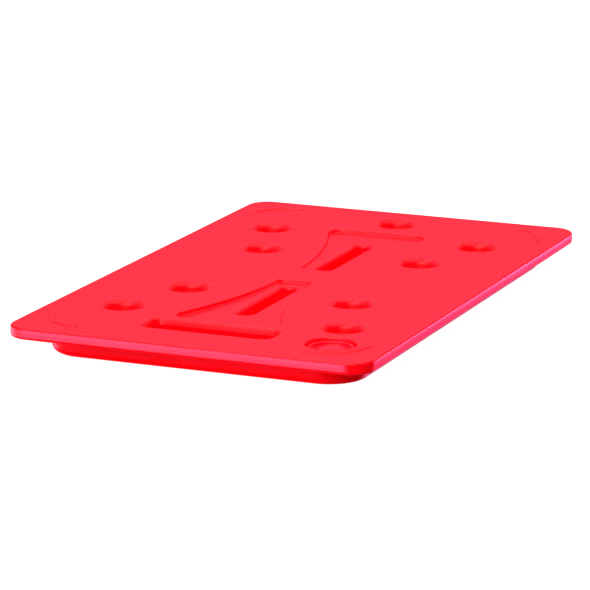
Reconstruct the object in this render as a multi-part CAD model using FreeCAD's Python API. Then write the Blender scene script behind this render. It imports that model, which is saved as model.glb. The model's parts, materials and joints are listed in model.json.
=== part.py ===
"""Gel-filled heat retaining plate of gastronorm 1/1 size.

A hollow plastic plate made of an upper and a lower shell welded around the middle of the rim. The rim rests on
the runners of an insulated food carrier, and a deeper tub hangs below it. Conical dimples and oblong pockets
reach down from the top face and are welded to seats pressed up from the underside, so that the two skins can't
bulge. A hand-hold goes right through near the front edge, and a screw plug closes the filler well at the
front right corner.

Frame: X across the plate, Y along it with the hand-hold at -Y, Z up. The origin is at the middle of the underside.
Millimetres.
"""
import FreeCAD
import Part
import math
import os

# ---------------------------------------------------------------- the plate as a whole
plate_width = 325.0             # along X, the gastronorm 1/1 width
plate_length = 530.0            # along Y, the gastronorm 1/1 length
body_height = 28.5              # underside to top face
rim_height = 10.5               # thickness of the flange that rests on the runners
rim_corner_radius = 20.5
rim_edge_radius = 2.5           # rounding along the rim's upper and lower edges
wall = 2.5                      # skin thickness
seam_depth = 5.75               # the weld line, below the top face

# ---------------------------------------------------------------- the tub under the rim
corner_x = 107.0                # centre shared by the tub's corners and the stacking ribs
corner_y = 206.0
tub_corner_radius = 34.0        # at the foot, before its edge is rounded
tub_draft = 1.6                 # how much wider the tub is where it meets the rim
tub_edge_radius = 6.0
tub_overlap = 0.5               # how far the tub reaches into the rim above it

# ---------------------------------------------------------------- corner stacking ribs
rib_height = 1.5
rib_width = 6.0
rib_radius = 35.5               # crest line, just outside the tub of a plate stacked on top
rib_sink = 0.5                  # how far each rib is rooted in the top skin

# ---------------------------------------------------------------- conical dimples
dimple_places = [(-101, -160), (101, -160), (-76, -80), (76, -80), (-76, 80), (76, 80),
                 (-101, 160), (101, 160), (0, 218)]
dimple_mouth_radius = 15.6
dimple_foot_radius = 9.0
dimple_lip_radius = 3.0

# ---------------------------------------------------------------- trumpet recesses, mirrored about the X axis
fan_depth = 3.2
fan_wall_run = 3.0              # how far its sloping wall reaches in
fan_narrow_y = 20.0
fan_narrow_half_width = 16.8
fan_narrow_corner = 7.0
fan_waist = (24.4, 90.0)        # a point on the curved side
fan_wide_y = 181.0
fan_wide_half_width = 34.0      # straight part of the wide end
fan_wide_corner = 13.5
fan_flare_degrees = 22.0        # how far the side has turned out where the wide corner starts
fan_lip_radius = 1.0

# ---------------------------------------------------------------- oblong pocket in each recess
pocket_inner_y = 31.5
pocket_outer_y = 141.5
pocket_width = 17.5
pocket_wall_run = 1.8

# ---------------------------------------------------------------- hand-hold, right through the plate
hold_half_length = 59.0
hold_front_y = -220.0
hold_back_y = -184.5
hold_corner_radius = 10.0
hold_throat_run = 3.5           # how far each funnel narrows towards the weld line
hold_lip_radius = 2.5

# ---------------------------------------------------------------- seats pressed up from the underside
seat_depth = 3.0
seat_margin = 2.0               # how much wider than the foot that is welded to it
seat_wall_run = 2.0

# ---------------------------------------------------------------- filler well, neck and plug
well_x = 111.0
well_y = -212.0
well_radius = 21.5
well_depth = 10.0
well_draft = 0.5
well_lip_radius = 1.5
neck_wall = 3.2
neck_length = 9.5
thread_pitch = 4.0
thread_height = 1.2
thread_root_width = 2.0
thread_crest_width = 1.0
thread_clearance = 0.35
thread_root_sink = 0.2          # how far a ridge is rooted in the part that carries it
plug_core_radius = 10.4
plug_thread_length = 8.0
plug_hollow_radius = 7.5
plug_hollow_depth = 7.0
plug_flange_radius = 19.5
plug_flange_thickness = 2.0
plug_top_gap = 2.5              # the plug's crown lies this far below the top face
plug_ring_inner_radius = 16.3
plug_hub_radius = 10.7
plug_hub_dish = 0.6
plug_grip_count = 30
plug_grip_radius = 1.1
plug_grip_reach = 19.8          # radius of the circle that the flutes' centres lie on
plug_rib_count = 4
plug_rib_width = 2.6
plug_rib_drop = 1.0
plug_rib_sink = 0.5             # how far each rib is rooted in the hub and in the ring
plug_edge_radius = 0.8
seal_thickness = 2.0
seal_inner_radius = 12.2
seal_outer_radius = 18.0
seal_edge_radius = 0.6

# ---------------------------------------------------------------- the gel
gel_level = 20.0                # height of its surface, with air above it for expansion
gel_gap = 0.2                   # kept between the gel and the skins

# ---------------------------------------------------------------- worked out from the above
joint_overlap = 0.1                          # how far fused shapes reach into each other
seam_z = body_height - seam_depth
rim_bottom_z = body_height - rim_height
half_width = plate_width / 2
half_length = plate_length / 2
seat_z = seat_depth + wall                   # upper side of a seat's skin
foot_z = seat_z + wall                       # inside floor of a dimple or pocket
fan_floor_z = body_height - fan_depth
well_floor_z = body_height - well_depth
neck_bottom_z = well_floor_z - neck_length
flange_bottom_z = well_floor_z + seal_thickness
plug_top_z = body_height - plug_top_gap
thread_start_z = flange_bottom_z - plug_thread_length + thread_root_width / 2 + joint_overlap
overshoot = 5.0                              # how far cutting shapes run past a face
oblong_roundness = 0.995                     # end radius of an oblong, as a share of its half width
place_tolerance = 0.5                        # used to tell the features' edges apart by their place
up = FreeCAD.Vector(0, 0, 1)


def point(x, y, z=0.0):
    return FreeCAD.Vector(x, y, z)


def arc(start, middle, end):
    return Part.Arc(start, middle, end).toShape()


def line(start, end):
    return Part.LineSegment(start, end).toShape()


def on_circle(centre_x, centre_y, radius, degrees, z):
    angle = math.radians(degrees)
    return point(centre_x + radius * math.cos(angle), centre_y + radius * math.sin(angle), z)


# ---------------------------------------------------------------- outlines
def rounded_rectangle(half_x, half_y, radius, z, centre=(0.0, 0.0)):
    """Closed outline of a rectangle with round corners at height z."""
    reach_x = half_x - radius
    reach_y = half_y - radius
    corners = [(reach_x, reach_y, 0), (-reach_x, reach_y, 90), (-reach_x, -reach_y, 180), (reach_x, -reach_y, 270)]
    edges = []
    previous = on_circle(centre[0] + reach_x, centre[1] - reach_y, radius, 360, z)
    for x, y, turn in corners:
        x += centre[0]
        y += centre[1]
        start = on_circle(x, y, radius, turn, z)
        end = on_circle(x, y, radius, turn + 90, z)
        if previous.distanceToPoint(start) > 1e-6:
            edges.append(line(previous, start))
        edges.append(arc(start, on_circle(x, y, radius, turn + 45, z), end))
        previous = end
    return Part.Wire(edges)


def fan_outline(side, grow, z):
    """Outline of a trumpet recess, moved outwards by grow. side is 1 at +Y and -1 at -Y."""
    narrow_x = fan_narrow_half_width - fan_narrow_corner
    narrow_y = fan_narrow_y + fan_narrow_corner
    wide_y = fan_wide_y - fan_wide_corner
    narrow_radius = fan_narrow_corner + grow
    wide_radius = fan_wide_corner + grow
    flare = math.radians(fan_flare_degrees)
    waist_tilt = flare * 0.5
    waist = point(fan_waist[0] + grow * math.cos(waist_tilt), side * (fan_waist[1] - grow * math.sin(waist_tilt)), z)

    def narrow(degrees):
        p = on_circle(narrow_x, narrow_y, narrow_radius, degrees, z)
        return point(p.x, side * p.y, z)

    def wide(degrees):
        p = on_circle(fan_wide_half_width, wide_y, wide_radius, degrees, z)
        return point(p.x, side * p.y, z)

    def mirrored(p):
        return point(-p.x, p.y, p.z)

    right = [
        (narrow(-90), narrow(-45), narrow(0)),
        (narrow(0), waist, wide(-fan_flare_degrees)),
        (wide(-fan_flare_degrees), wide(45 - fan_flare_degrees / 2), wide(90)),
    ]
    edges = [arc(*points) for points in right]
    edges.append(line(wide(90), mirrored(wide(90))))
    edges += [arc(mirrored(end), mirrored(middle), mirrored(start)) for start, middle, end in reversed(right)]
    edges.append(line(mirrored(narrow(-90)), narrow(-90)))
    return Part.Wire(edges)


def tapered(lower, upper):
    """Solid between two outlines that have the same edges at two heights."""
    return Part.makeLoft([lower, upper], True, True)


def prism(outline, height):
    return Part.Face(outline).extrude(up * height)


def edges_at(shape, z, inside=None):
    """Edges that lie flat at height z, and where inside is given, only those it accepts."""
    found = []
    for edge in shape.Edges:
        box = edge.BoundBox
        if abs(box.ZMin - z) < 1e-4 and abs(box.ZMax - z) < 1e-4:
            if inside is None or inside(box):
                found.append(edge)
    return found


# ---------------------------------------------------------------- shapes that are cut out, or grown into walls
def dimple(x, y, grow):
    """Cone of a dimple. With grow it is the outside of the skin around it."""
    depth = body_height - foot_z
    slope = (dimple_mouth_radius - dimple_foot_radius) / depth
    foot = foot_z - grow
    top = body_height + (overshoot if grow == 0 else -wall / 2)
    foot_radius = dimple_foot_radius + grow - slope * grow
    top_radius = foot_radius + slope * (top - foot)
    return Part.makeCone(foot_radius, top_radius, top - foot, point(x, y, foot), up)


def fan(side, grow):
    floor = fan_floor_z - grow
    if grow == 0:
        slope = fan_wall_run / fan_depth
        above = fan_outline(side, slope * overshoot, body_height + overshoot)
        return tapered(fan_outline(side, -fan_wall_run, floor), above)
    return prism(fan_outline(side, grow, floor), body_height - wall / 2 - floor)


def pocket(side, grow):
    centre = (0.0, side * (pocket_inner_y + pocket_outer_y) / 2)
    half_x = pocket_width / 2
    half_y = (pocket_outer_y - pocket_inner_y) / 2
    floor = foot_z - grow
    top = fan_floor_z + (fan_depth / 2 if grow == 0 else -wall / 2)
    narrow = pocket_wall_run - grow
    lower = rounded_rectangle(half_x - narrow, half_y - narrow, (half_x - narrow) * oblong_roundness, floor, centre)
    upper = rounded_rectangle(half_x + grow, half_y + grow, (half_x + grow) * oblong_roundness, top, centre)
    return tapered(lower, upper)


def hold_outline(grow, z):
    centre = (0.0, (hold_front_y + hold_back_y) / 2)
    half_y = (hold_back_y - hold_front_y) / 2
    return rounded_rectangle(hold_half_length + grow, half_y + grow, hold_corner_radius + grow, z, centre)


def hold_funnel(z_wide, z_throat, grow):
    """Half of the hand-hold, narrowing from a face of the plate to the weld line."""
    outlines = [hold_outline(grow - hold_throat_run, z_throat), hold_outline(grow, z_wide)]
    if z_wide < z_throat:
        outlines.reverse()
    return tapered(*outlines)


def well(grow):
    floor = well_floor_z - grow
    top = body_height + (overshoot if grow == 0 else -wall / 2)
    foot_radius = well_radius - well_draft + grow
    top_radius = foot_radius + well_draft * (top - floor) / well_depth
    return Part.makeCone(foot_radius, top_radius, top - floor, point(well_x, well_y, floor), up)


def round_seat(x, y, grow):
    radius = dimple_foot_radius + wall + seat_margin
    return Part.makeCone(radius + seat_wall_run + grow, radius + grow, seat_depth, point(x, y, grow), up)


def long_seat(side, grow):
    centre = (0.0, side * (pocket_inner_y + pocket_outer_y) / 2)
    half_x = pocket_width / 2 - pocket_wall_run + wall + seat_margin + grow
    half_y = (pocket_outer_y - pocket_inner_y) / 2 - pocket_wall_run + wall + seat_margin + grow
    run = seat_wall_run
    lower = rounded_rectangle(half_x + run, half_y + run, (half_x + run) * oblong_roundness, grow, centre)
    upper = rounded_rectangle(half_x, half_y, half_x * oblong_roundness, seat_depth + grow, centre)
    return tapered(lower, upper)


# ---------------------------------------------------------------- threads
def thread_ridge(inner_radius, outer_radius, root_width, crest_width, bottom_z, length):
    """A helical ridge of trapezoid section about the Z axis."""
    helix = Part.makeHelix(thread_pitch, length, inner_radius)
    helix.translate(point(0, 0, bottom_z))
    corners = [
        point(inner_radius, 0, bottom_z - root_width / 2),
        point(outer_radius, 0, bottom_z - crest_width / 2),
        point(outer_radius, 0, bottom_z + crest_width / 2),
        point(inner_radius, 0, bottom_z + root_width / 2),
    ]
    section = Part.makePolygon(corners + corners[:1])
    sweep = Part.BRepOffsetAPI.MakePipeShell(helix)
    sweep.setFrenetMode(True)
    sweep.add(section)
    sweep.build()
    sweep.makeSolid()
    return sweep.shape()


def threaded_neck():
    """The neck that hangs under the well's floor, with its internal thread, placed at the well."""
    bore_radius = plug_core_radius + thread_clearance
    groove_radius = plug_core_radius + thread_height + thread_clearance
    neck_radius = groove_radius + neck_wall
    neck = Part.makeCylinder(neck_radius, neck_length, point(0, 0, neck_bottom_z))
    bore = Part.makeCylinder(bore_radius, neck_length + 2 * overshoot, point(0, 0, neck_bottom_z - overshoot))
    groove = thread_ridge(
        bore_radius - thread_root_sink,
        groove_radius,
        thread_root_width + 2 * thread_clearance,
        thread_crest_width + 2 * thread_clearance,
        thread_start_z - 2 * thread_pitch,
        neck_length + 2 * thread_pitch,
    )
    neck = neck.cut(bore).cut(groove)
    neck.translate(point(well_x, well_y))
    return neck


# ---------------------------------------------------------------- sub-parts
def stacking_rib(sign_x, sign_y):
    """Quarter ring with a rounded top and rounded ends, in one corner of the top face."""
    half = rib_width / 2
    crest = body_height + rib_height
    root = body_height - rib_sink
    turn = {(1, 1): 0, (-1, 1): 90, (-1, -1): 180, (1, -1): 270}[(sign_x, sign_y)]
    left = point(rib_radius - half, 0, body_height)
    right = point(rib_radius + half, 0, body_height)
    top = point(rib_radius, 0, crest)
    root_left = point(rib_radius - half, 0, root)
    root_right = point(rib_radius + half, 0, root)
    section = Part.Face(Part.Wire([
        line(root_left, root_right), line(root_right, right), arc(right, top, left), line(left, root_left),
    ]))
    ring = section.revolve(point(0, 0), up, 90)
    knob_radius = (half ** 2 + rib_height ** 2) / (2 * rib_height)
    ball = Part.makeSphere(knob_radius, point(rib_radius, 0, crest - knob_radius))
    post = Part.makeCylinder(half, rib_height + rib_sink, point(rib_radius, 0, root))
    start_cap = ball.common(post)
    end_cap = start_cap.copy()
    end_cap.rotate(point(0, 0), up, 90)
    rib = ring.multiFuse([start_cap, end_cap])
    rib.rotate(point(0, 0), up, turn)
    rib.translate(point(sign_x * corner_x, sign_y * corner_y))
    return rib


def upper_shell():
    block = prism(rounded_rectangle(half_width, half_length, rim_corner_radius, seam_z), seam_depth)
    block = block.makeFillet(rim_edge_radius, edges_at(block, body_height))
    inside = prism(
        rounded_rectangle(half_width - wall, half_length - wall, rim_corner_radius - wall, seam_z - overshoot),
        seam_depth + overshoot - wall,
    )
    skin = block.cut(inside)
    walls = [dimple(x, y, wall) for x, y in dimple_places]
    walls += [fan(side, wall) for side in (1, -1)]
    walls += [pocket(side, wall) for side in (1, -1)]
    walls.append(well(wall))
    walls.append(hold_funnel(body_height - wall / 2, seam_z, wall))
    walls += [stacking_rib(x, y) for x in (1, -1) for y in (1, -1)]
    skin = skin.multiFuse(walls)
    holes = [dimple(x, y, 0) for x, y in dimple_places]
    holes += [fan(side, 0) for side in (1, -1)]
    holes += [pocket(side, 0) for side in (1, -1)]
    holes.append(well(0))
    holes.append(hold_funnel(body_height, seam_z, 0))
    neck_opening = plug_core_radius + thread_clearance + thread_height + thread_clearance
    holes.append(Part.makeCylinder(neck_opening, 2 * wall, point(well_x, well_y, well_floor_z - 2 * wall)))
    skin = skin.cut(Part.makeCompound(holes)).removeSplitter()
    return round_lips(skin).fuse(threaded_neck())


def round_lips(skin):
    """Round the mouths of the features on the top face."""
    def centred(box, x, y):
        return abs(box.Center.x - x) < place_tolerance and abs(box.Center.y - y) < place_tolerance

    def within(box, reach_x, low_y, high_y):
        in_x = max(abs(box.XMin), abs(box.XMax)) < reach_x + place_tolerance
        return in_x and box.YMin > low_y - place_tolerance and box.YMax < high_y + place_tolerance

    def is_dimple(box):
        return any(centred(box, x, y) for x, y in dimple_places)

    def is_well(box):
        return centred(box, well_x, well_y)

    def is_hold(box):
        return within(box, hold_half_length, hold_front_y, hold_back_y)

    def is_fan(box):
        return within(box, fan_wide_half_width + fan_wide_corner, -fan_wide_y, fan_wide_y)

    lips = [
        (is_dimple, dimple_lip_radius),
        (is_well, well_lip_radius),
        (is_hold, hold_lip_radius),
        (is_fan, fan_lip_radius),
    ]
    for chosen, radius in lips:
        skin = skin.makeFillet(radius, edges_at(skin, body_height, chosen))
    return skin


def lower_shell():
    outside = lower_block(0.0)
    inside = lower_block(wall)
    skin = outside.cut(inside)
    walls = [round_seat(x, y, wall) for x, y in dimple_places]
    walls += [long_seat(side, wall) for side in (1, -1)]
    walls.append(hold_funnel(wall / 2, seam_z, wall))
    skin = skin.multiFuse(walls)
    holes = [round_seat(x, y, 0) for x, y in dimple_places]
    holes += [long_seat(side, 0) for side in (1, -1)]
    holes.append(hold_funnel(0, seam_z, 0))
    return skin.cut(Part.makeCompound(holes)).removeSplitter()


def lower_block(inset):
    """Solid under the weld line, moved inwards by inset: the lower half of the rim and the tub."""
    rim_z = rim_bottom_z + inset
    rim_radius = max(rim_edge_radius - inset, 0)
    rim = prism(
        rounded_rectangle(half_width - inset, half_length - inset, rim_corner_radius - inset, rim_z),
        seam_z - rim_z,
    )
    if rim_radius > 0:
        rim = rim.makeFillet(rim_radius, edges_at(rim, rim_z))
    foot_radius = tub_corner_radius - inset
    top_radius = foot_radius + tub_draft
    foot = rounded_rectangle(corner_x + foot_radius, corner_y + foot_radius, foot_radius, inset)
    top = rounded_rectangle(corner_x + top_radius, corner_y + top_radius, top_radius, rim_z + tub_overlap)
    tub = tapered(foot, top)
    tub = tub.makeFillet(tub_edge_radius - inset, edges_at(tub, inset))
    return rim.fuse(tub)


def gel_fill():
    """Everything inside the tub below the gel's surface that no skin takes up."""
    gap = wall + gel_gap
    block = lower_block(gap)
    box = Part.makeBox(plate_width, plate_length, gel_level, point(-half_width, -half_length))
    gel = block.common(box)
    solid = [dimple(x, y, gap) for x, y in dimple_places]
    solid += [round_seat(x, y, gap) for x, y in dimple_places]
    solid += [pocket(side, gap) for side in (1, -1)]
    solid += [long_seat(side, gap) for side in (1, -1)]
    solid.append(hold_funnel(0, seam_z, gap))
    solid.append(well(gap))
    neck_radius = plug_core_radius + thread_height + thread_clearance + neck_wall + gel_gap
    solid.append(Part.makeCylinder(neck_radius, neck_length, point(well_x, well_y, neck_bottom_z - gel_gap)))
    return gel.cut(Part.makeCompound(solid))


def filler_plug():
    """Screw plug: a threaded skirt under a flange, with a fluted ring and a hub on top."""
    flange_top = flange_bottom_z + plug_flange_thickness
    bottom = flange_bottom_z - plug_thread_length
    plug = Part.makeCylinder(plug_core_radius, plug_thread_length + joint_overlap, point(0, 0, bottom))
    ridge = thread_ridge(
        plug_core_radius - thread_root_sink,
        plug_core_radius + thread_height,
        thread_root_width,
        thread_crest_width,
        thread_start_z,
        plug_thread_length - thread_root_width - 4 * joint_overlap,
    )
    flange = Part.makeCylinder(plug_flange_radius, plug_top_z - flange_bottom_z, point(0, 0, flange_bottom_z))
    flange = flange.makeFillet(plug_edge_radius, edges_at(flange, plug_top_z))
    moat = Part.makeCylinder(plug_ring_inner_radius, overshoot, point(0, 0, flange_top))
    moat = moat.cut(Part.makeCylinder(plug_hub_radius, overshoot, point(0, 0, flange_top)))
    flange = flange.cut(moat)
    plug = plug.fuse(flange)
    rib_start = plug_hub_radius - plug_rib_sink
    rib_length = plug_ring_inner_radius + plug_rib_sink - rib_start
    rib_rise = plug_top_z - plug_rib_drop - flange_top
    for index in range(plug_rib_count):
        rib = Part.makeBox(
            rib_length,
            plug_rib_width,
            rib_rise + joint_overlap,
            point(rib_start, -plug_rib_width / 2, flange_top - joint_overlap),
        )
        rib.rotate(point(0, 0), up, (index + 0.5) * 360 / plug_rib_count)
        plug = plug.fuse(rib)
    hollow = Part.makeCylinder(plug_hollow_radius, plug_hollow_depth, point(0, 0, bottom))
    dish_radius = (plug_hub_radius ** 2 / 4 + plug_hub_dish ** 2) / (2 * plug_hub_dish)
    dish = Part.makeSphere(dish_radius, point(0, 0, plug_top_z - plug_hub_dish + dish_radius))
    flutes = [
        Part.makeCylinder(plug_grip_radius, overshoot * 2,
                          on_circle(0, 0, plug_grip_reach, index * 360 / plug_grip_count, flange_bottom_z))
        for index in range(plug_grip_count)
    ]
    plug = plug.cut(Part.makeCompound([hollow] + flutes)).cut(dish)
    plug = plug.fuse(ridge)
    plug.translate(point(well_x, well_y))
    return plug


def plug_seal():
    seal = Part.makeCylinder(seal_outer_radius, seal_thickness, point(0, 0, well_floor_z))
    seal = seal.cut(Part.makeCylinder(seal_inner_radius, seal_thickness, point(0, 0, well_floor_z)))
    seal = seal.makeFillet(seal_edge_radius, edges_at(seal, well_floor_z) + edges_at(seal, flange_bottom_z))
    seal.translate(point(well_x, well_y))
    return seal


def write(name, shape):
    solids = shape.Solids
    whole = solids[0] if len(solids) == 1 else Part.makeCompound(solids)
    whole.exportStep(os.path.join("parts", name + ".step"))
    print(name, "solids", len(solids), "valid", whole.isValid(), "volume_cm3", round(whole.Volume / 1000, 1))


os.makedirs("parts", exist_ok=True)
write("upper_shell", upper_shell())
write("lower_shell", lower_shell())
write("gel_fill", gel_fill())
write("filler_plug", filler_plug())
write("plug_seal", plug_seal())
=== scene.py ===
"""Looks of the gel-filled heat retaining plate.

The two moulded skins, the screw plug and its washer are built here as closed meshes, and each stands for
its CAD node. The gel keeps its CAD shape, sealed inside. Shapes are worked out in millimetres and turned into
metres when a mesh is made. The outer size, the main heights and the places of the dimples, pockets and plug
come from the frame, and the other sizes are named values.
"""
import bmesh
import bpy
import json
import math
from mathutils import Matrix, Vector
from mathutils.geometry import delaunay_2d_cdt


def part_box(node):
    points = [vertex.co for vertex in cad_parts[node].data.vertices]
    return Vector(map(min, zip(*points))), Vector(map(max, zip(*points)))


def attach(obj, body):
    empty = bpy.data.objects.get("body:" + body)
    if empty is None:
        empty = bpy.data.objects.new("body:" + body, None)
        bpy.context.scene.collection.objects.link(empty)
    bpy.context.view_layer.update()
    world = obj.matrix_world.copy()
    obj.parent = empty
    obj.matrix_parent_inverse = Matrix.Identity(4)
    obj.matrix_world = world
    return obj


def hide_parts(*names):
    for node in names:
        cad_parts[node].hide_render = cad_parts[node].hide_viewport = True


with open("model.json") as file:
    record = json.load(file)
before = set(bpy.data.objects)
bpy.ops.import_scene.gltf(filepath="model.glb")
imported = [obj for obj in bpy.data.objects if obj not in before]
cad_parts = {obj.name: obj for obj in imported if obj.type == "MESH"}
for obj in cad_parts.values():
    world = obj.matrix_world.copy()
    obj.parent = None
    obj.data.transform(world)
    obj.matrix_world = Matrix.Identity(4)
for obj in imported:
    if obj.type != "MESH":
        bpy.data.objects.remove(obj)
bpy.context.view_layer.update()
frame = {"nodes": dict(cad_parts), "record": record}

MM = 0.001
record = frame["record"]
mounts = {mount["name"]: mount for mount in record["mounts"]}
openings = {opening["name"]: opening["box_m"] for opening in record["physics"]["openings"]}
plug_low, plug_high = (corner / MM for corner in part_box("filler_plug"))
seal_low, seal_high = (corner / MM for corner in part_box("plug_seal"))
upper_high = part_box("upper_shell")[1] / MM
lower_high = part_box("lower_shell")[1] / MM

# ------------------------------------------------------------ heights and outline, from the frame
half_width = upper_high.x
half_length = upper_high.y
top_z = mounts["top_face"]["pos_m"][2] / MM
ledge_z = mounts["rim_ledge_right"]["pos_m"][2] / MM
seam_z = lower_high.z
crest_z = upper_high.z
well_centre = (plug_low.xy + plug_high.xy) / 2
well_floor_z = seal_low.z
flange_bottom_z = seal_high.z
plug_top_z = plug_high.z
plug_bottom_z = plug_low.z

# ------------------------------------------------------------ the moulded casing
wall = 2.5
thin_wall = 1.0                 # a deep feature's side wall is stretched thinner than the rest
foot_z = 8.0                    # inside floor of the dimples and pockets
rim_corner_radius = 20.5
rim_edge_radius = 2.5
seam_groove = 0.12
corner_x = 107.0                # centre shared by a corner of the tub and its stacking rib
corner_y = 206.0
tub_corner_radius = 34.0
tub_draft = 1.6
tub_edge_radius = 6.0
seat_depth = 3.0
rim_steps = (36, 60)            # pieces of the rim's sides, and of the tub's
rib_radius = 35.8               # centre line of a stacking rib
support = 0.4                   # width of the flat band around each feature, which keeps its shading there
face_grid = 8.0                 # spacing of the points that the top face is filled with
foot_grid = 10.0                # of those in the underside
hidden_grid = 16.0              # and of those in the surfaces inside the skins


def middle(name):
    """Centre of a stated opening, in millimetres."""
    low, high = openings[name]
    return (Vector(low).xy + Vector(high).xy) / (2 * MM)


dimple_centres = [middle(name) for name in sorted(openings) if name.startswith("dimple")]


# ------------------------------------------------------------ outlines, as functions of their growth
def arc_points(centre, radius, start, end, steps):
    """Points from one angle to another, in degrees, without the last one."""
    turn = [math.radians(start + (end - start) * i / steps) for i in range(steps)]
    return [(centre[0] + radius * math.cos(a), centre[1] + radius * math.sin(a)) for a in turn]


def between(start, end, steps):
    """Points on a straight line, without the last one."""
    return [tuple(Vector(start).lerp(Vector(end), i / steps)) for i in range(steps)]


def circle(centre, radius, steps=72):
    return lambda grow: arc_points(centre, radius + grow, 0, 360, steps)


def rounded_rectangle(half_x, half_y, radius, side_steps, centre=(0, 0)):
    """Outline with round corners; side_steps are the pieces of its sides along X and along Y."""
    arc_steps = 12
    steps_x, steps_y = side_steps

    def outline(grow):
        reach_x = half_x - radius
        reach_y = half_y - radius
        round_radius = radius + grow
        corners = [(reach_x, reach_y), (-reach_x, reach_y), (-reach_x, -reach_y), (reach_x, -reach_y)]
        corners = [(centre[0] + x, centre[1] + y) for x, y in corners]
        points = []
        for index, corner in enumerate(corners):
            start = 90 * index
            points += arc_points(corner, round_radius, start, start + 90, arc_steps)
            following = corners[(index + 1) % 4]
            leave = arc_points(corner, round_radius, start + 90, start + 91, 1)[0]
            reach = arc_points(following, round_radius, start + 90, start + 91, 1)[0]
            if (Vector(leave) - Vector(reach)).length > 0.001:
                points += between(leave, reach, steps_x if index % 2 == 0 else steps_y)
        return points

    return outline


def arc_through(start, through, end, steps):
    """Points of the arc through three points, without the last one."""
    a, b, c = Vector(start), Vector(through), Vector(end)
    d = 2 * (a.x * (b.y - c.y) + b.x * (c.y - a.y) + c.x * (a.y - b.y))
    sq = [p.length_squared for p in (a, b, c)]
    centre = Vector((
        (sq[0] * (b.y - c.y) + sq[1] * (c.y - a.y) + sq[2] * (a.y - b.y)) / d,
        (sq[0] * (c.x - b.x) + sq[1] * (a.x - c.x) + sq[2] * (b.x - a.x)) / d,
    ))
    first = math.atan2(a.y - centre.y, a.x - centre.x)
    last = math.atan2(c.y - centre.y, c.x - centre.x)
    sweep = (last - first + math.pi) % (2 * math.pi) - math.pi
    radius = (a - centre).length
    return arc_points(centre, radius, math.degrees(first), math.degrees(first + sweep), steps)


def fan_outline(side):
    """Trumpet-shaped recess; side is 1 at +Y and -1 at -Y."""
    narrow_y, narrow_half_width, narrow_corner = 20.0, 16.8, 7.0
    wide_y, wide_half_width, wide_corner = 181.0, 34.0, 13.5
    waist_x, waist_y = 24.4, 90.0
    flare = 22.0

    def outline(grow):
        narrow_centre = (narrow_half_width - narrow_corner, narrow_y + narrow_corner)
        wide_centre = (wide_half_width, wide_y - wide_corner)
        tilt = math.radians(flare / 2)
        waist = (waist_x + grow * math.cos(tilt), waist_y - grow * math.sin(tilt))
        tip = arc_points(narrow_centre, narrow_corner + grow, -90, 0, 8)
        wing = arc_points(wide_centre, wide_corner + grow, -flare, 90, 12)
        tip_end = (narrow_centre[0] + narrow_corner + grow, narrow_centre[1])
        wing_end = (wide_centre[0], wide_centre[1] + wide_corner + grow)
        right = tip + arc_through(tip_end, waist, wing[0], 26) + wing + [wing_end]
        left = [(-x, y) for x, y in reversed(right)]
        points = right[:-1] + between(right[-1], left[0], 10) + left[:-1] + between(left[-1], right[0], 4)
        return [(x, side * y) for x, y in points[::side]]

    return outline


def rim_outline():
    return rounded_rectangle(half_width, half_length, rim_corner_radius, rim_steps)


def rib_outline(sign_x, sign_y):
    """Quarter ring with round ends; grow is its half width."""
    steps = 24
    end_steps = 8

    def outline(grow):
        outer = arc_points((0, 0), rib_radius + grow, 0, 90, steps)
        end = arc_points((0, rib_radius), grow, 90, 270, end_steps)
        inner = arc_points((0, 0), rib_radius - grow, 90, 0, steps)
        start = arc_points((rib_radius, 0), grow, 180, 360, end_steps)
        points = outer + end + inner + start
        return [(sign_x * (corner_x + x), sign_y * (corner_y + y)) for x, y in points[::sign_x * sign_y]]

    return outline


# ------------------------------------------------------------ profiles
def rounded_path(corners, radii):
    """Polyline of (grow, z) whose inner corners are turned into arcs; a radius of 0 keeps the corner.

    An arc becomes smaller than its radius where the lines beside it are too short for it.
    """
    step_degrees = 11.0
    end_share = 0.98            # how much of the first and the last line an arc may take
    inner_share = 0.49          # and of every other line
    path = [tuple(corners[0])]
    last_corner = len(corners) - 2
    for number, radius in enumerate(radii, 1):
        corner = Vector(corners[number])
        back = Vector(corners[number - 1]) - corner
        ahead = Vector(corners[number + 1]) - corner
        back_room = back.length * (end_share if number == 1 else inner_share)
        ahead_room = ahead.length * (end_share if number == last_corner else inner_share)
        turn = math.pi - back.angle(ahead)
        if radius == 0:
            path.append(tuple(corner))
            continue
        reach = min(radius * math.tan(turn / 2), back_room, ahead_room)
        arc_radius = reach / math.tan(turn / 2)
        bisector = (back.normalized() + ahead.normalized()).normalized()
        centre = corner + bisector * arc_radius / math.cos(turn / 2)
        first = corner + back.normalized() * reach - centre
        last = corner + ahead.normalized() * reach - centre
        steps = max(2, math.ceil(math.degrees(turn) / step_degrees))
        for i in range(steps + 1):
            share = i / steps
            spoke = (first * math.sin((1 - share) * turn) + last * math.sin(share * turn)) / math.sin(turn)
            path.append(tuple(centre + spoke))
    path.append(tuple(corners[-1]))
    return path


# ------------------------------------------------------------ surfaces gathered from rings of points
def inside(point, polygon):
    """True where a point lies in a polygon."""
    x, y = point
    odd = False
    for (ax, ay), (bx, by) in zip(polygon, polygon[1:] + polygon[:1]):
        if (ay > y) != (by > y) and x < (bx - ax) * (y - ay) / (by - ay) + ax:
            odd = not odd
    return odd


def near(point, polygon, distance):
    return any(abs(point[0] - x) < distance and abs(point[1] - y) < distance for x, y in polygon)


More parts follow.
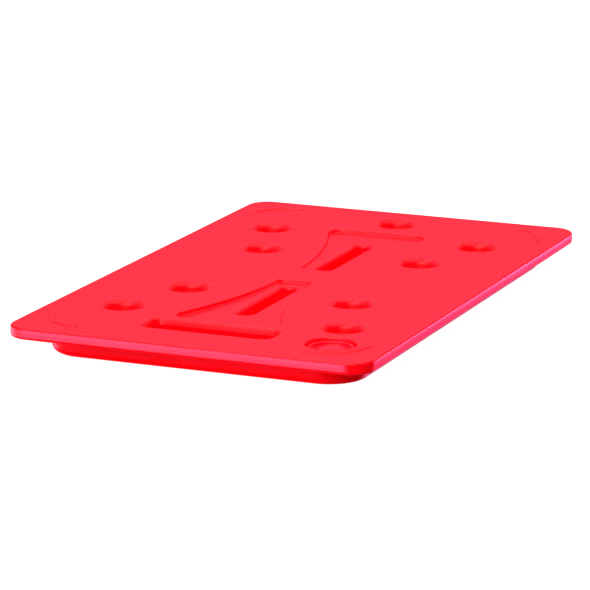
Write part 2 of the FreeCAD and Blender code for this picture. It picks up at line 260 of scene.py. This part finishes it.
class Skin:
    """Points and faces of one piece, in millimetres."""

    def __init__(self):
        self.points = []
        self.faces = []

    def ring(self, outline, z):
        first = len(self.points)
        self.points += [(x, y, z) for x, y in outline]
        return list(range(first, len(self.points)))

    def bridge(self, one, other):
        for i in range(len(one)):
            j = (i + 1) % len(one)
            self.faces.append((one[i], one[j], other[j], other[i]))

    def loft(self, outline, path, shape=None):
        """Join rings of an outline along a path of (grow, z). Returns the first and the last ring."""
        rings = []
        for grow, z in path:
            ring = self.ring(outline(grow), z)
            if shape:
                for index in ring:
                    self.points[index] = shape(self.points[index])
            rings.append(ring)
        for one, other in zip(rings, rings[1:]):
            self.bridge(one, other)
        return rings[0], rings[-1]

    def cap(self, ring):
        """Close a ring with triangles that meet at its middle."""
        count = len(ring)
        middle_point = tuple(sum(self.points[index][axis] for index in ring) / count for axis in range(3))
        self.points.append(middle_point)
        centre = len(self.points) - 1
        for i in range(count):
            self.faces.append((ring[i], ring[(i + 1) % count], centre))

    def fill(self, outer, holes=(), spacing=0.0):
        """Fill the flat area between one ring and others inside it, on a grid if it has a spacing."""
        clear_share = 0.6           # how near a grid point may lie to a ring, as a share of the spacing
        merge_distance = 1e-6
        rings = [outer] + list(holes)
        flat = [[self.points[index][:2] for index in ring] for ring in rings]
        z = self.points[outer[0]][2]
        used = [index for ring in rings for index in ring]
        if spacing:
            low = [min(p[axis] for p in flat[0]) for axis in range(2)]
            high = [max(p[axis] for p in flat[0]) for axis in range(2)]
            counts = [int((high[axis] - low[axis]) / spacing) for axis in range(2)]
            boxes = [polygon_box(polygon, spacing) for polygon in flat]
            for i in range(1, counts[0] + 1):
                for j in range(1, counts[1] + 1):
                    point = (low[0] + (i - 0.5) * spacing, low[1] + (j - 0.5) * spacing)
                    if self.is_free(point, flat, boxes, spacing * clear_share):
                        self.points.append((point[0], point[1], z))
                        used.append(len(self.points) - 1)
        coordinates = [Vector(self.points[index][:2]) for index in used]
        edges = []
        owner = [-1] * len(used)
        first = 0
        for number, ring in enumerate(rings):
            count = len(ring)
            edges += [(first + i, first + (i + 1) % count) for i in range(count)]
            for i in range(count):
                owner[first + i] = number
            first += count
        found = delaunay_2d_cdt(coordinates, edges, [], 1, merge_distance)
        origin = [ids[0] for ids in found[3]]
        for face in found[2]:
            corners = [origin[index] for index in face]
            owners = {owner[index] for index in corners}
            if len(owners) == 1 and owners != {-1}:
                ring_number = owners.pop()
                centre = sum((coordinates[index] for index in corners), Vector((0, 0))) / len(corners)
                if inside(centre, flat[ring_number]) != (ring_number == 0):
                    continue
            self.faces.append(tuple(used[index] for index in corners))

    @staticmethod
    def is_free(point, flat, boxes, distance):
        """True where a point lies inside the outer ring, outside the holes and away from all of them."""
        for number, (polygon, (low, high)) in enumerate(zip(flat, boxes)):
            if low[0] < point[0] < high[0] and low[1] < point[1] < high[1]:
                if inside(point, polygon) != (number == 0) or near(point, polygon, distance):
                    return False
        return True

    def make(self, name, bend=None):
        """A closed, smooth-shaded mesh object; bend moves each point a little."""
        sharp_degrees = 42
        points = [bend(point) for point in self.points] if bend else self.points
        mesh = bpy.data.meshes.new(name)
        mesh.from_pydata([Vector(point) * MM for point in points], [], self.faces)
        mesh.validate()
        piece = bpy.data.objects.new(name, mesh)
        bpy.context.scene.collection.objects.link(piece)
        face_outwards(mesh)
        mesh.shade_smooth()
        mesh.set_sharp_from_angle(angle=math.radians(sharp_degrees))
        return piece


def polygon_box(polygon, margin):
    low = [min(p[axis] for p in polygon) - margin for axis in range(2)]
    high = [max(p[axis] for p in polygon) + margin for axis in range(2)]
    return low, high


def face_outwards(mesh):
    working = bmesh.new()
    working.from_mesh(mesh)
    bmesh.ops.recalc_face_normals(working, faces=working.faces)
    working.to_mesh(mesh)
    working.free()


# ------------------------------------------------------------ shapes shared by the two skins
def grown(outline, amount):
    return lambda grow: outline(grow + amount)


def arc_reach(radius, run, height):
    """How far an arc reaches along a flat face, from its corner with a wall that leans by run over height."""
    half_turn = (math.pi / 2 - math.atan2(run, abs(height))) / 2
    return radius * math.tan(half_turn)


def recess(skin, outline, run, mouth_z, floor_z, lip, foot, margin=support):
    """Rings of a tapered recess. Returns the ring around its mouth and the ring on its floor."""
    lip_reach = arc_reach(lip, run, mouth_z - floor_z) + margin
    foot_reach = arc_reach(foot, run, mouth_z - floor_z) + support
    corners = [(lip_reach, mouth_z), (0, mouth_z), (-run, floor_z), (-run - foot_reach, floor_z)]
    return skin.loft(outline, rounded_path(corners, [lip, foot]))


def hold_outline():
    half_x = 59.0
    half_y = 17.15
    centre_y = -202.85
    corner_radius = 10.0
    return rounded_rectangle(half_x, half_y, corner_radius, (16, 3), (0, centre_y))


def hold_funnel(skin, face_z, lip):
    """Half of the hand-hold, from a face of the plate to the weld line and back up inside the skin."""
    run = 2.3
    into = 1 if face_z < seam_z else -1
    inner_z = face_z + into * wall
    lip_reach = arc_reach(lip, run, face_z - seam_z) + support
    corners = [
        (lip_reach, face_z), (0, face_z), (-run, seam_z), (thin_wall - run, seam_z), (thin_wall, inner_z),
        (thin_wall + support, inner_z),
    ]
    return skin.loft(hold_outline(), rounded_path(corners, [lip, 0, 0, 0]))


def waviness(x, y):
    """0 to 1, varying slowly from place to place."""
    broad = math.sin(x / 37 + 0.8) * math.cos(y / 52 - 0.6)
    finer = math.sin((x + 0.6 * y) / 17 + 2.1) * math.cos((y - 0.4 * x) / 23)
    return 0.5 + 0.33 * broad + 0.17 * finer


def sag(point):
    """Lower the skin above the weld line a little and draw every wall in a little, both unevenly."""
    greatest_dip = 0.14
    greatest_pull = 0.0005          # as a share of the distance from the middle
    x, y, z = point
    share = min(max((z - seam_z) / (top_z - seam_z), 0), 1)
    dip = greatest_dip * waviness(x, y) * share * share * (3 - 2 * share)
    pull = 1 - greatest_pull * waviness(1.3 * y, 1.3 * x)
    return x * pull, y * pull, z - dip


# ------------------------------------------------------------ upper casing
def dimple(skin, centre):
    mouth_radius = 16.0
    foot_radius = 12.0
    lip = 7.0
    foot = 6.0
    hidden_round = 0.6
    run = mouth_radius - foot_radius
    mouth = circle(centre, mouth_radius)
    outer, bottom = recess(skin, mouth, run, top_z, foot_z, lip, foot)
    skin.cap(bottom)
    behind = grown(mouth, thin_wall)
    inner, below = recess(skin, behind, run, top_z - wall, foot_z - wall, hidden_round, hidden_round)
    skin.cap(below)
    return outer, inner


def fan(skin, side):
    """A trumpet recess with the oblong pocket in its floor."""
    depth = 3.2
    wall_run = 1.2
    foot = 1.4
    inset = 0.7                     # its wall stands this far inside the outline
    pocket_half_width = 7.75
    pocket_half_length = 54.0
    pocket_run = 1.8
    pocket_foot = 2.2
    outline = grown(fan_outline(side), -inset)
    centre = middle("pocket_back" if side > 0 else "pocket_front")
    pocket = rounded_rectangle(pocket_half_width, pocket_half_length, pocket_half_width, (1, 12), centre)
    face = (0.0, 0.0, 2.0, 4.5)
    hidden_face = (thin_wall, wall, 0.5, 0.6)
    mouths = []
    for offset, drop, lip, pocket_lip in (face, hidden_face):
        mouth_z = top_z - drop
        shelf_z = top_z - depth - drop
        bottom_z = foot_z - drop
        wide = grown(outline, offset)
        narrow = grown(pocket, offset)
        mouth, shelf = recess(skin, wide, wall_run, mouth_z, shelf_z, lip, foot)
        hole, bottom = recess(skin, narrow, pocket_run, shelf_z, bottom_z, pocket_lip, pocket_foot)
        skin.fill(bottom)
        skin.fill(shelf, [hole], face_grid)
        mouths.append(mouth)
    return mouths


def stacking_rib(skin, sign_x, sign_y):
    half_base = 3.4
    half_crest = 0.3
    margin = 0.8
    shoulder = (2.2, crest_z - 0.3)
    corners = [(half_base + margin, top_z), (half_base, top_z), shoulder, (half_crest, crest_z)]
    base, crest = skin.loft(rib_outline(sign_x, sign_y), rounded_path(corners, [1.2, 1.6]))
    skin.fill(crest)
    return base


thread_pitch = 4.0
thread_height = 1.2
thread_root = 2.0
thread_crest = 1.0
thread_clearance = 0.35
core_radius = 10.4
thread_lead = 0.1               # from the plug's end up to the thread's lower edge, on the +X side
thread_rings = 30               # rings of points along the thread, on the plug and in the neck
thread_start_z = plug_bottom_z + thread_root / 2 + thread_lead
touching = 0.01                 # how near counts as on a surface


def ridge(x, y, z, clearance):
    """0 to 1: how far a point at this angle and height lies on the thread."""
    turn = math.atan2(y - well_centre.y, x - well_centre.x) / (2 * math.pi)
    along = (z - thread_start_z) / thread_pitch - turn
    away = abs(along - round(along)) * thread_pitch
    root = thread_root / 2 + clearance
    crest = thread_crest / 2 + clearance
    return min(max((root - away) / (root - crest), 0), 1)


def push_out(point, amount):
    """Move a point away from the plug's axis."""
    spoke = Vector(point[:2]) - well_centre
    moved = well_centre + spoke * (spoke.length + amount) / spoke.length
    return moved.x, moved.y, point[2]


def filler_well(skin):
    """The well, its threaded neck and the underside of both, down to the inner face of the top skin."""
    radius = 20.8
    draft = 0.3
    lip = 2.6
    bore = core_radius + thread_clearance
    neck_wall = 3.2
    neck_length = 9.5
    bevel = 0.5                     # at the mouth of the bore
    neck_radius = bore + thread_height + neck_wall
    neck_bottom_z = well_floor_z - neck_length
    thread_top_z = well_floor_z - 0.6
    drop = thread_top_z - neck_bottom_z - 0.4
    well_corners = [
        (radius + lip + support, top_z), (radius, top_z), (radius - draft, well_floor_z),
        (bore + thread_height + 0.3, well_floor_z), (bore, well_floor_z - bevel),
    ]
    path = rounded_path(well_corners, [lip, 0.8, 0])
    path += [(bore, thread_top_z - drop * i / thread_rings) for i in range(thread_rings + 1)]
    under_corners = [
        (bore + 0.3, neck_bottom_z), (neck_radius, neck_bottom_z), (neck_radius, well_floor_z - wall),
        (radius + thin_wall - draft, well_floor_z - wall), (radius + thin_wall, top_z - wall),
        (radius + thin_wall + support, top_z - wall),
    ]
    path += rounded_path(under_corners, [0.5, 1.0, 1.0, 0])

    def threaded(point):
        on_bore = abs((Vector(point[:2]) - well_centre).length - bore) < touching
        if not on_bore or not neck_bottom_z < point[2] <= thread_top_z:
            return point
        return push_out(point, thread_height * ridge(*point, thread_clearance))

    return skin.loft(circle(well_centre, 0.0, steps=144), path, threaded)


def upper_casing():
    skin = Skin()
    hold_lip = 4.5
    edge = -rim_edge_radius - support
    corners = [
        (edge, top_z), (0, top_z), (0, seam_z + seam_groove), (-seam_groove, seam_z), (-wall, seam_z),
        (-wall, top_z - wall), (edge - wall, top_z - wall),
    ]
    path = rounded_path(corners, [rim_edge_radius, 0, 0, 0, 1.5])
    face, ceiling = skin.loft(rim_outline(), path)
    pairs = [dimple(skin, centre) for centre in dimple_centres]
    pairs += [fan(skin, side) for side in (1, -1)]
    pairs.append(hold_funnel(skin, top_z, hold_lip))
    pairs.append(filler_well(skin))
    ribs = [stacking_rib(skin, x, y) for x in (1, -1) for y in (1, -1)]
    skin.fill(face, [outer for outer, inner in pairs] + ribs, face_grid)
    skin.fill(ceiling, [inner for outer, inner in pairs], hidden_grid)
    return skin.make("upper_casing", sag)


# ------------------------------------------------------------ lower casing
seat_run = 2.0                  # how far a seat's wall leans in
seat_skin_z = seat_depth + wall - 0.05      # upper side of a seat, just clear of the foot above it


def round_seat(skin, centre):
    """Recess in the underside that meets the foot of a dimple."""
    radius = 15.5
    outline = circle(centre, radius)
    outer, bottom = recess(skin, outline, seat_run, 0.0, seat_depth, lip=0.5, foot=0.8, margin=0.2)
    skin.cap(bottom)
    inner, above = recess(skin, grown(outline, thin_wall), seat_run, wall, seat_skin_z, lip=0.3, foot=0.5)
    skin.cap(above)
    return outer, inner


def long_seat(skin, side):
    """Recess in the underside that meets the floor of an oblong pocket."""
    half_x = 13.45
    half_y = 59.7
    centre = middle("pocket_back" if side > 0 else "pocket_front")
    outline = rounded_rectangle(half_x, half_y, half_x, (1, 12), centre)
    outer, bottom = recess(skin, outline, seat_run, 0.0, seat_depth, lip=0.8, foot=0.8)
    skin.fill(bottom)
    inner, above = recess(skin, grown(outline, thin_wall), seat_run, wall, seat_skin_z, lip=0.5, foot=0.5)
    skin.fill(above)
    return outer, inner


def lower_casing():
    hold_lip = 1.5
    rim_band = 4.0                  # how far the rim's rings run in along the ledge
    tub_band = 3.0                  # and how far the tub's run out
    inner_band = 2.0                # the same inside the skin
    foot_reach = 0.93 * tub_edge_radius
    skin = Skin()
    rim = rim_outline()
    reach = tub_corner_radius
    tub = rounded_rectangle(corner_x + reach, corner_y + reach, reach, rim_steps)
    rim_outside = [
        (-wall, seam_z), (-seam_groove, seam_z), (0, seam_z - seam_groove), (0, ledge_z),
        (-rim_band, ledge_z),
    ]
    top_ring, rim_ring = skin.loft(rim, rounded_path(rim_outside, [0, 0, rim_edge_radius]))
    tub_outside = [(tub_draft + tub_band, ledge_z), (tub_draft, ledge_z), (0, 0), (-foot_reach, 0)]
    tub_ring, foot_ring = skin.loft(tub, rounded_path(tub_outside, [1.2, tub_edge_radius]))
    skin.bridge(rim_ring, tub_ring)
    tub_inside = [
        (-wall - inner_band, wall), (-wall, wall), (tub_draft - wall, ledge_z + wall),
        (tub_draft - wall + inner_band, ledge_z + wall),
    ]
    floor_ring, ledge_ring = skin.loft(tub, rounded_path(tub_inside, [1.2, 1.2]))
    rim_inside = [(-wall - inner_band, ledge_z + wall), (-wall, ledge_z + wall), (-wall, seam_z)]
    shelf_ring, last_ring = skin.loft(rim, rounded_path(rim_inside, [1.0]))
    skin.bridge(ledge_ring, shelf_ring)
    skin.bridge(last_ring, top_ring)
    pairs = [round_seat(skin, centre) for centre in dimple_centres]
    pairs += [long_seat(skin, side) for side in (1, -1)]
    pairs.append(hold_funnel(skin, 0.0, hold_lip))
    skin.fill(foot_ring, [outer for outer, inner in pairs], foot_grid)
    skin.fill(floor_ring, [inner for outer, inner in pairs], hidden_grid)
    return skin.make("lower_casing", sag)


# ------------------------------------------------------------ plug and washer
def screw_plug():
    """Threaded skirt, hollow below, under a crown with a fluted ring, four ribs and a dished hub."""
    skin = Skin()
    flange_radius = 19.5
    ring_radius = 16.3
    hub_radius = 10.7
    hollow_radius = 7.5
    hollow_depth = 7.0
    moat_z = flange_bottom_z + 2.4
    hub_z = plug_top_z - 1.8
    rib_top_z = hub_z - 0.3
    half_rib = 1.3
    dish_radius = hub_radius / 2
    dish_depth = 0.6
    grip_count = 30
    grip_radius = 1.1
    grip_reach = 19.8               # radius of the circle that the flutes' centres lie on
    flute_start = 17.0              # the flutes fade in from this radius
    flute_run = 1.6                 # over this much of it
    rib_fade = 0.3
    rib_fill = 0.95                 # how much of the moat's depth a rib fills
    moat_margin = 0.7
    thread_fade = 0.8
    thread_end_z = flange_bottom_z - 0.6

    def rib_share(x, y):
        """1 on a rib and 0 off it."""
        spoke = Vector((x, y)) - well_centre
        turn = (math.degrees(math.atan2(spoke.y, spoke.x)) - 45) / 90
        away = abs(math.radians((turn - round(turn)) * 90)) * spoke.length
        share = min(max((half_rib + rib_fade - away) / (2 * rib_fade), 0), 1)
        return share * share * (3 - 2 * share)

    def grip_depth(x, y):
        """How far a flute cuts into the crown's wall here."""
        spoke = Vector((x, y)) - well_centre
        turn = math.atan2(spoke.y, spoke.x) * grip_count / (2 * math.pi)
        away = abs(turn - round(turn)) * 2 * math.pi / grip_count * flange_radius
        if away >= grip_radius:
            return 0.0
        return max(flange_radius - grip_reach + math.sqrt(grip_radius ** 2 - away ** 2), 0.0)

    def shape(point):
        x, y, z = point
        radius = (Vector((x, y)) - well_centre).length
        in_moat = hub_radius - moat_margin < radius < ring_radius + moat_margin
        if in_moat and moat_z - touching <= z < rib_top_z:
            return x, y, rib_top_z - (rib_top_z - z) * (1 - rib_fill * rib_share(x, y))
        if radius > flute_start:
            share = min((radius - flute_start) / flute_run, 1.0)
            return push_out(point, -grip_depth(x, y) * share)
        if abs(radius - core_radius) < touching and plug_bottom_z < z <= thread_end_z:
            rise = min(max((z - plug_bottom_z - 0.3) / thread_fade, 0), 1)
            fall = min(max((thread_end_z - z) / thread_fade, 0), 1)
            return push_out(point, thread_height * (rise * fall) * ridge(x, y, z, 0.0))
        return point

    dish_steps = 8
    dish = [
        (dish_radius * i / dish_steps, hub_z - dish_depth * (1 - (i / dish_steps) ** 2))
        for i in range(1, dish_steps)
    ]
    crown = [
        (dish_radius, hub_z), (hub_radius, hub_z), (hub_radius, moat_z), (ring_radius, moat_z),
        (ring_radius, plug_top_z), (flange_radius, plug_top_z), (flange_radius, flange_bottom_z),
        (core_radius, flange_bottom_z), (core_radius, thread_end_z),
    ]
    path = dish + rounded_path(crown, [0.8, 0.6, 1.2, 1.4, 1.3, 0.4, 0.4])
    bevel = 0.4                     # at the skirt's lower edge
    drop = thread_end_z - plug_bottom_z - bevel
    path += [(core_radius, thread_end_z - drop * i / thread_rings) for i in range(1, thread_rings + 1)]
    skirt = [
        (core_radius - bevel, plug_bottom_z), (hollow_radius, plug_bottom_z),
        (hollow_radius, plug_bottom_z + hollow_depth), (hollow_radius / 2, plug_bottom_z + hollow_depth),
    ]
    path += rounded_path(skirt, [0.4, 0.8])
    first, last = skin.loft(circle(well_centre, 0.0, steps=360), path, shape)
    skin.cap(first)
    skin.cap(last)
    return skin.make("screw_plug")


def washer():
    """Flat ring with rounded edges."""
    skin = Skin()
    inner_radius = 12.2
    outer_radius = 18.0
    edge = 0.6
    section = [
        (outer_radius, well_floor_z), (outer_radius, flange_bottom_z), (inner_radius, flange_bottom_z),
        (inner_radius, well_floor_z),
    ]
    middle_radius = (inner_radius + outer_radius) / 2
    corners = [(middle_radius, well_floor_z)] + section + [(middle_radius, well_floor_z)]
    path = rounded_path(corners, [edge] * 4)[:-1]
    first, last = skin.loft(circle(well_centre, 0.0, steps=120), path)
    skin.bridge(last, first)
    return skin.make("washer")


# ------------------------------------------------------------ materials
class Nodes:
    """Short ways to build a node tree around one Principled shader."""

    def __init__(self, name):
        self.material = bpy.data.materials.new(name)
        self.material.use_nodes = True
        self.tree = self.material.node_tree
        self.shader = self.tree.nodes["Principled BSDF"]
        self.place = self.tree.nodes.new("ShaderNodeTexCoord").outputs["Object"]

    def link(self, output, socket):
        self.tree.links.new(output, socket)

    def noise(self, scale, detail, stretch=(1, 1, 1)):
        mapping = self.tree.nodes.new("ShaderNodeMapping")
        mapping.inputs["Scale"].default_value = stretch
        self.link(self.place, mapping.inputs["Vector"])
        noise = self.tree.nodes.new("ShaderNodeTexNoise")
        noise.inputs["Scale"].default_value = scale
        noise.inputs["Detail"].default_value = detail
        self.link(mapping.outputs["Vector"], noise.inputs["Vector"])
        return noise.outputs["Fac"]

    def spread(self, value, low, high):
        """Stretch a noise, from where most of its values lie, to between two levels."""
        node = self.tree.nodes.new("ShaderNodeMapRange")
        node.inputs["From Min"].default_value = 0.3
        node.inputs["From Max"].default_value = 0.7
        node.inputs["To Min"].default_value = low
        node.inputs["To Max"].default_value = high
        self.link(value, node.inputs["Value"])
        return node.outputs["Result"]

    def blend(self, share, one, other):
        """Mix of two colours."""
        node = self.tree.nodes.new("ShaderNodeMix")
        node.data_type = "RGBA"
        node.inputs["A"].default_value = (*one, 1.0)
        node.inputs["B"].default_value = (*other, 1.0)
        self.link(share, node.inputs["Factor"])
        return node.outputs["Result"]

    def bump(self, height, strength, distance, under=None):
        node = self.tree.nodes.new("ShaderNodeBump")
        node.inputs["Strength"].default_value = strength
        node.inputs["Distance"].default_value = distance
        self.link(height, node.inputs["Height"])
        if under:
            self.link(under, node.inputs["Normal"])
        return node.outputs["Normal"]


def moulded_red(name, deep, bright, grain_scale):
    """Satin plastic: faint colour drift, glossier and duller patches, and unevenness of three sizes."""
    nodes = Nodes(name)
    drift = nodes.noise(scale=9.0, detail=2.0)
    nodes.link(nodes.blend(nodes.spread(drift, 0, 1), deep, bright), nodes.shader.inputs["Base Color"])
    patches = nodes.noise(scale=22.0, detail=4.0, stretch=(1, 0.6, 1))
    nodes.link(nodes.spread(patches, 0.17, 0.23), nodes.shader.inputs["Roughness"])
    hollows = nodes.noise(scale=18.0, detail=3.0, stretch=(1, 0.7, 1))
    sink = nodes.bump(hollows, strength=0.5, distance=0.0006)
    flow = nodes.bump(nodes.noise(scale=60.0, detail=2.0), strength=0.06, distance=0.0004, under=sink)
    grain = nodes.noise(scale=grain_scale, detail=2.0)
    peel = nodes.bump(grain, strength=0.06, distance=0.0001, under=flow)
    nodes.link(peel, nodes.shader.inputs["Normal"])
    nodes.shader.inputs["IOR"].default_value = 1.4
    return nodes.material


def washer_rubber():
    """Black rubber with a fine matt grain."""
    nodes = Nodes("washer_rubber")
    speckle = nodes.noise(scale=900.0, detail=2.0)
    colour = nodes.blend(speckle, (0.012, 0.012, 0.012), (0.03, 0.03, 0.03))
    nodes.link(colour, nodes.shader.inputs["Base Color"])
    nodes.link(nodes.spread(speckle, 0.6, 0.8), nodes.shader.inputs["Roughness"])
    nodes.link(nodes.bump(speckle, strength=0.2, distance=0.0001), nodes.shader.inputs["Normal"])
    return nodes.material


def cloudy_gel():
    """Pale blue gel with light scattered inside it."""
    nodes = Nodes("cooling_gel")
    cloud = nodes.noise(scale=35.0, detail=5.0)
    colour = nodes.blend(nodes.spread(cloud, 0, 1), (0.22, 0.48, 0.62), (0.42, 0.66, 0.76))
    nodes.link(colour, nodes.shader.inputs["Base Color"])
    nodes.link(nodes.spread(cloud, 0.12, 0.3), nodes.shader.inputs["Roughness"])
    nodes.link(nodes.bump(cloud, strength=0.3, distance=0.001), nodes.shader.inputs["Normal"])
    nodes.shader.inputs["Subsurface Weight"].default_value = 0.4
    nodes.shader.inputs["Subsurface Radius"].default_value = (0.004, 0.008, 0.01)
    return nodes.material


def pale_floor():
    """White that gives most of its own light, so that shadows hardly show on it."""
    nodes = Nodes("pale_floor")
    nodes.shader.inputs["Base Color"].default_value = (0.2, 0.2, 0.2, 1)
    nodes.shader.inputs["Roughness"].default_value = 0.9
    nodes.shader.inputs["Specular IOR Level"].default_value = 0.0
    nodes.shader.inputs["Emission Color"].default_value = (1, 1, 1, 1)
    nodes.shader.inputs["Emission Strength"].default_value = 0.98
    return nodes.material


# ------------------------------------------------------------ studio
def floor():
    """White luminous table. The plate doesn't mirror it: its reflections come from the surroundings."""
    reach = 7.0
    mesh = bpy.data.meshes.new("floor")
    corners = [(-reach, -reach, 0), (reach, -reach, 0), (reach, reach, 0), (-reach, reach, 0)]
    mesh.from_pydata(corners, [], [(0, 1, 2, 3)])
    mesh.materials.append(pale_floor())
    piece = bpy.data.objects.new("floor", mesh)
    piece.visible_diffuse = False
    piece.visible_glossy = False
    piece.visible_shadow = False
    bpy.context.scene.collection.objects.link(piece)


def direction(azimuth, elevation):
    """Unit vector towards a place seen from the plate. Azimuth 0 is -Y and turns towards +X."""
    a, e = math.radians(azimuth), math.radians(elevation)
    return Vector((math.sin(a) * math.cos(e), -math.cos(a) * math.cos(e), math.sin(e)))


def softbox(name, azimuth, elevation, distance, width, height, power):
    """A diffuse area light that isn't mirrored in the plate."""
    light = bpy.data.lights.new(name, "AREA")
    light.shape = "RECTANGLE"
    light.size = width
    light.size_y = height
    light.energy = power
    lamp = bpy.data.objects.new(name, light)
    toward = direction(azimuth, elevation)
    lamp.location = toward * distance
    lamp.rotation_euler = toward.to_track_quat("Z", "Y").to_euler()
    lamp.visible_glossy = False
    bpy.context.scene.collection.objects.link(lamp)


def surroundings(dim, cards):
    """Dim surroundings with soft-edged cards of light in them, which the satin plastic mirrors.

    A card is its azimuth and elevation, half its width and height and its soft edge, all in degrees, and its
    colour.
    """
    world = bpy.data.worlds.new("studio")
    world.use_nodes = True
    tree = world.node_tree

    def step(kind, operation, *values):
        node = tree.nodes.new(kind)
        node.operation = operation
        for socket, value in zip(node.inputs, values):
            if isinstance(value, bpy.types.NodeSocket):
                tree.links.new(value, socket)
            else:
                socket.default_value = value
        return node.outputs["Vector" if operation == "MULTIPLY_ADD" else "Value"]

    def fade(angle, reach, edge):
        """1 where an angle is within reach, falling to 0 across a soft edge."""
        node = tree.nodes.new("ShaderNodeMapRange")
        node.interpolation_type = "SMOOTHSTEP"
        node.inputs["From Min"].default_value = math.radians(reach + edge)
        node.inputs["From Max"].default_value = math.radians(reach - edge)
        tree.links.new(angle, node.inputs["Value"])
        return node.outputs["Result"]

    look = tree.nodes.new("ShaderNodeTexCoord").outputs["Generated"]
    height = step("ShaderNodeMath", "ARCSINE", step("ShaderNodeVectorMath", "DOT_PRODUCT", look, (0, 0, 1)))
    total = dim
    for azimuth, elevation, half_turn, half_rise, edge, colour in cards:
        aside = step("ShaderNodeVectorMath", "DOT_PRODUCT", look, direction(azimuth + 90, 0))
        ahead = step("ShaderNodeVectorMath", "DOT_PRODUCT", look, direction(azimuth, 0))
        turn = step("ShaderNodeMath", "ABSOLUTE", step("ShaderNodeMath", "ARCTAN2", aside, ahead))
        lift = step("ShaderNodeMath", "SUBTRACT", height, math.radians(elevation))
        rise = step("ShaderNodeMath", "ABSOLUTE", lift)
        cover = step("ShaderNodeMath", "MULTIPLY", fade(turn, half_turn, edge), fade(rise, half_rise, edge))
        total = step("ShaderNodeVectorMath", "MULTIPLY_ADD", colour, cover, total)
    tree.links.new(total, tree.nodes["Background"].inputs["Color"])
    bpy.context.scene.world = world


def camera():
    """A long lens, low over the front right corner of the plate."""
    azimuth = 22.924
    elevation = 13.911
    distance = 3.09
    target = Vector((20.2, -72.3, top_z)) * MM
    lens = bpy.data.cameras.new("camera")
    lens.lens = 219.78
    lens.sensor_width = 36.0
    lens.dof.use_dof = False
    view = bpy.data.objects.new("camera", lens)
    toward = direction(azimuth, elevation)
    view.location = target + toward * distance
    view.rotation_euler = toward.to_track_quat("Z", "Y").to_euler()
    bpy.context.scene.collection.objects.link(view)
    bpy.context.scene.camera = view


# ------------------------------------------------------------ put together
def place(piece, body, node, material):
    """Give a piece its material and let it stand for a CAD node."""
    piece.data.materials.append(material)
    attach(piece, body)
    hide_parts(node)


skin_red = moulded_red("moulded_red", (0.84, 0.0006, 0.004), (0.9, 0.001, 0.006), grain_scale=700.0)
plug_red = moulded_red("plug_red", (0.82, 0.001, 0.008), (0.88, 0.002, 0.012), grain_scale=1400.0)
place(upper_casing(), "casing", "upper_shell", skin_red)
place(lower_casing(), "casing", "lower_shell", skin_red)
place(screw_plug(), "plug", "filler_plug", plug_red)
place(washer(), "seal", "plug_seal", washer_rubber())

gel = frame["nodes"]["gel_fill"]
gel.data.materials.clear()
gel.data.materials.append(cloudy_gel())

floor()
surroundings((0.02, 0.008, 0.016), [
    (-27, -7, 14, 13, 4, (3.4, 3.1, 6.6)),          # front left, low
    (-6, -14, 8, 8, 6, (1.4, 1.1, 2.2)),            # right of it
    (-80, -12, 40, 8, 5, (2.2, 1.8, 3.0)),          # left of it
    (-65, 4, 30, 7, 5, (0.5, 0.45, 0.75)),          # above that one
    (-12, 48, 45, 18, 10, (1.3, 0.95, 1.45)),       # front, high
    (-12, 62, 22, 8, 8, (1.0, 0.9, 1.3)),           # added to its upper part and just above
    (0, 78, 180, 25, 12, (0.6, 0.35, 0.5)),         # overhead, all round
    (255, 58, 45, 10, 8, (0.6, 0.5, 0.8)),          # left, high
    (205, 5, 60, 30, 12, (0.3, 0.1, 0.16)),         # back, wide and faint
    (225, 33, 72, 16, 6, (0.3, 0.22, 0.33)),        # back left, above it
    (200, -30, 50, 15, 5, (0.4, 0.12, 0.25)),       # back, below it
    (156, -6, 8, 5, 3, (3.0, 2.2, 5.2)),            # back right, narrow and bright
    (157, -12, 12, 10, 4, (3.6, 0.12, 0.6)),        # red, round it and below
    (157, -29, 14, 6, 3, (4.0, 0.6, 1.6)),          # red, lower still
    (145, 10, 30, 40, 12, (1.2, 0.0, 0.0)),         # deep red, right and behind
    (-60, -40, 90, 35, 12, (1.3, 0.0, 0.0)),        # deep red, low in front and at the left
])
softbox("overhead", azimuth=180, elevation=75, distance=2.5, width=3.0, height=3.0, power=110.0)
softbox("front", azimuth=10, elevation=35, distance=2.5, width=2.5, height=1.6, power=60.0)
camera()
bpy.context.scene.view_settings.view_transform = "Standard"
